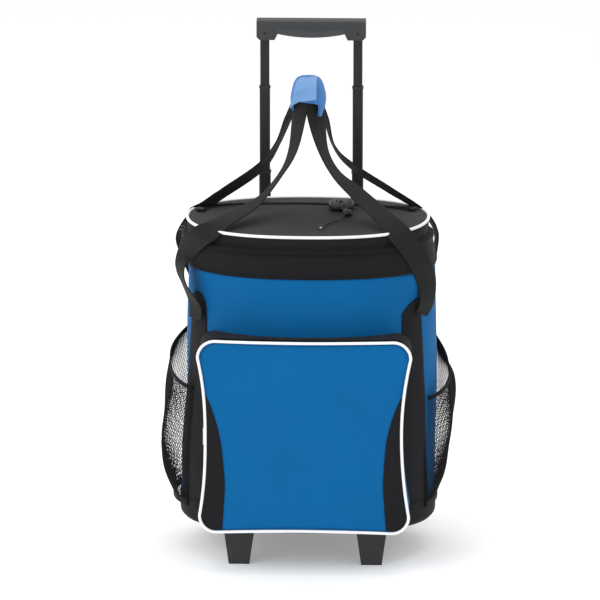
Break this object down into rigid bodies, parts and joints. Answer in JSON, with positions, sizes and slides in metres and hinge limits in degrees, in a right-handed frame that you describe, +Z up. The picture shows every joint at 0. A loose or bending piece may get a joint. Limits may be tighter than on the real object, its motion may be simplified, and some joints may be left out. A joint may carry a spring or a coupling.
{
  "type": "cooler on wheels",
  "caption": "Soft insulated cooler bag with zipped lid, front and mesh side pockets, carry straps, telescoping trolley handle and rear wheels.",
  "frame": {"origin": "bottom centre of the bounding box, on the ground", "axes": "+Z up, -Y the front with the zipped pocket, +X the right-hand side seen from the front"},
  "size_m": [0.4056, 0.3328, 0.7075],
  "materials": {
    "blue_fabric": "600D woven polyester, coated back",
    "black_fabric": "600D woven polyester, black",
    "charcoal_fabric": "woven polyester, charcoal",
    "zip_tape": "coil zip on woven tape",
    "piping": "smooth white piping cord",
    "mesh": "open knitted mesh",
    "binding": "folded binding tape",
    "webbing": "ribbed woven webbing",
    "wrap_fabric": "padded fabric with hook-and-loop",
    "foam": "closed-cell insulation foam",
    "liner_film": "waterproof liner film",
    "board": "stiff moulded board",
    "black_plastic": "moulded plastic, fine texture",
    "grip_plastic": "moulded grip, satin",
    "grip_soft": "soft underside insert",
    "tube_metal": "black powder coat",
    "steel": "plated steel",
    "tyre_rubber": "solid tyre",
    "zip_metal": "black lacquered zip slider",
    "pull_metal": "bright pull tab",
    "pull_rubber": "moulded puller and cord"
  },
  "bodies": {
    "bag": {"base_board": "board", "base_trim": "black_fabric", "outer_shell": "blue_fabric", "upper_band": "black_fabric", "insulation_foam": "foam", "liner": "liner_film", "main_zip_lower": "zip_tape", "lid_hinge_strip": "black_fabric", "accent_bands": "black_fabric", "main_zip_sliders": "zip_metal", "pocket_gusset": "blue_fabric", "pocket_zip_rear": "zip_tape", "pocket_face_lower": "blue_fabric", "pocket_piping_lower": "piping", "pocket_accents_lower": "black_fabric", "mesh_pocket_left": "mesh", "mesh_pocket_right": "mesh", "mesh_bindings": "binding", "outer_tubes": "tube_metal", "outer_collars": "black_plastic", "back_panel": "black_fabric", "trolley_brackets": "black_plastic", "body_screws": "steel", "axles": "steel", "wheel_housings": "black_plastic", "front_feet": "black_plastic"},
    "lid": {"main_zip_upper": "zip_tape", "lid_skirt": "black_fabric", "lid_top": "charcoal_fabric", "lid_foam": "foam", "lid_liner": "liner_film", "lid_piping": "piping", "lid_pocket_zip": "zip_tape"},
    "lid_slider": {"lid_zip_slider": "zip_metal"},
    "lid_puller": {"lid_puller": "pull_rubber"},
    "pocket_flap": {"pocket_zip_front": "zip_tape", "pocket_gusset_front": "blue_fabric", "pocket_face_upper": "blue_fabric", "pocket_piping_upper": "piping", "pocket_accents_upper": "black_fabric"},
    "pocket_slider": {"pocket_slider": "zip_metal"},
    "pocket_pull": {"pocket_pull": "pull_metal"},
    "main_pull_front": {"main_pull_front": "zip_metal"},
    "main_pull_rear": {"main_pull_rear": "zip_metal"},
    "middle_stage": {"middle_tubes": "tube_metal", "middle_collars": "black_plastic", "middle_glides": "black_plastic"},
    "upper_stage": {"upper_tubes": "tube_metal", "upper_glides": "black_plastic", "grip_casing": "grip_plastic", "grip_insert": "grip_soft", "grip_screws": "steel"},
    "wheel_left": {"tyre_left": "tyre_rubber", "hub_left": "black_plastic"},
    "wheel_right": {"tyre_right": "tyre_rubber", "hub_right": "black_plastic"},
    "front_handle": {"front_strap": "webbing", "grip_wrap": "wrap_fabric", "wrap_flap": "wrap_fabric"},
    "rear_handle": {"rear_strap": "webbing"}
  },
  "joints": [
    {"name": "lid_hinge", "type": "hinge", "parent": "bag", "child": "lid", "pos_m": [0, 0.11157, 0.4625], "axis": [-1, 0, 0], "range_deg": [0, 80]},
    {"name": "front_strap_fall", "type": "hinge", "parent": "bag", "child": "front_handle", "pos_m": [0, -0.07243, 0.352], "axis": [1, 0, 0], "range_deg": [0, 115], "deforming": ["front_strap"]},
    {"name": "rear_strap_lean", "type": "hinge", "parent": "bag", "child": "rear_handle", "pos_m": [0, 0.05957, 0.352], "axis": [-1, 0, 0], "range_deg": [0, 27], "deforming": ["rear_strap"]},
    {"name": "lid_zip_slide", "type": "slide", "parent": "lid", "child": "lid_slider", "axis": [1, 0, 0], "range_m": [-0.12, 0.025]},
    {"name": "lid_puller_lift", "type": "hinge", "parent": "lid_slider", "child": "lid_puller", "pos_m": [0.048, 0.04927, 0.4651], "axis": [1, 0, 0], "range_deg": [-90, 0]},
    {"name": "pocket_open", "type": "hinge", "parent": "bag", "child": "pocket_flap", "pos_m": [0, -0.16643, 0.2], "axis": [1, 0, 0], "range_deg": [0, 70]},
    {"name": "pocket_zip_slide", "type": "slide", "parent": "bag", "child": "pocket_slider", "axis": [-0.1136, 0, 0.9935], "range_m": [0, 0.0705]},
    {"name": "pocket_pull_swing", "type": "hinge", "parent": "pocket_slider", "child": "pocket_pull", "pos_m": [-0.1359, -0.14943, 0.1995], "axis": [0, 1, 0], "range_deg": [0, 90]},
    {"name": "main_pull_front_swing", "type": "hinge", "parent": "bag", "child": "main_pull_front", "pos_m": [-0.17358, 0.00157, 0.4307], "axis": [0, 1, 0], "range_deg": [0, 90]},
    {"name": "main_pull_rear_swing", "type": "hinge", "parent": "bag", "child": "main_pull_rear", "pos_m": [-0.17183, 0.02157, 0.4307], "axis": [0, 1, 0], "range_deg": [0, 90]},
    {"name": "middle_slide", "type": "slide", "parent": "bag", "child": "middle_stage", "axis": [0, 0, 1], "range_m": [-0.1157, 0.114]},
    {"name": "upper_slide", "type": "slide", "parent": "middle_stage", "child": "upper_stage", "axis": [0, 0, 1], "range_m": [-0.0657, 0.164]},
    {"name": "wheel_left_spin", "type": "hinge", "parent": "bag", "child": "wheel_left", "pos_m": [-0.108, 0.13243, 0.034], "axis": [1, 0, 0], "continuous": true},
    {"name": "wheel_right_spin", "type": "hinge", "parent": "bag", "child": "wheel_right", "pos_m": [0.108, 0.13243, 0.034], "axis": [1, 0, 0], "continuous": true}
  ],
  "couplings": [
    {"joint": "front_strap_fall", "follows": "lid_hinge", "ratio": 1.4375},
    {"joint": "rear_strap_lean", "follows": "lid_hinge", "ratio": 0.3375}
  ]
}
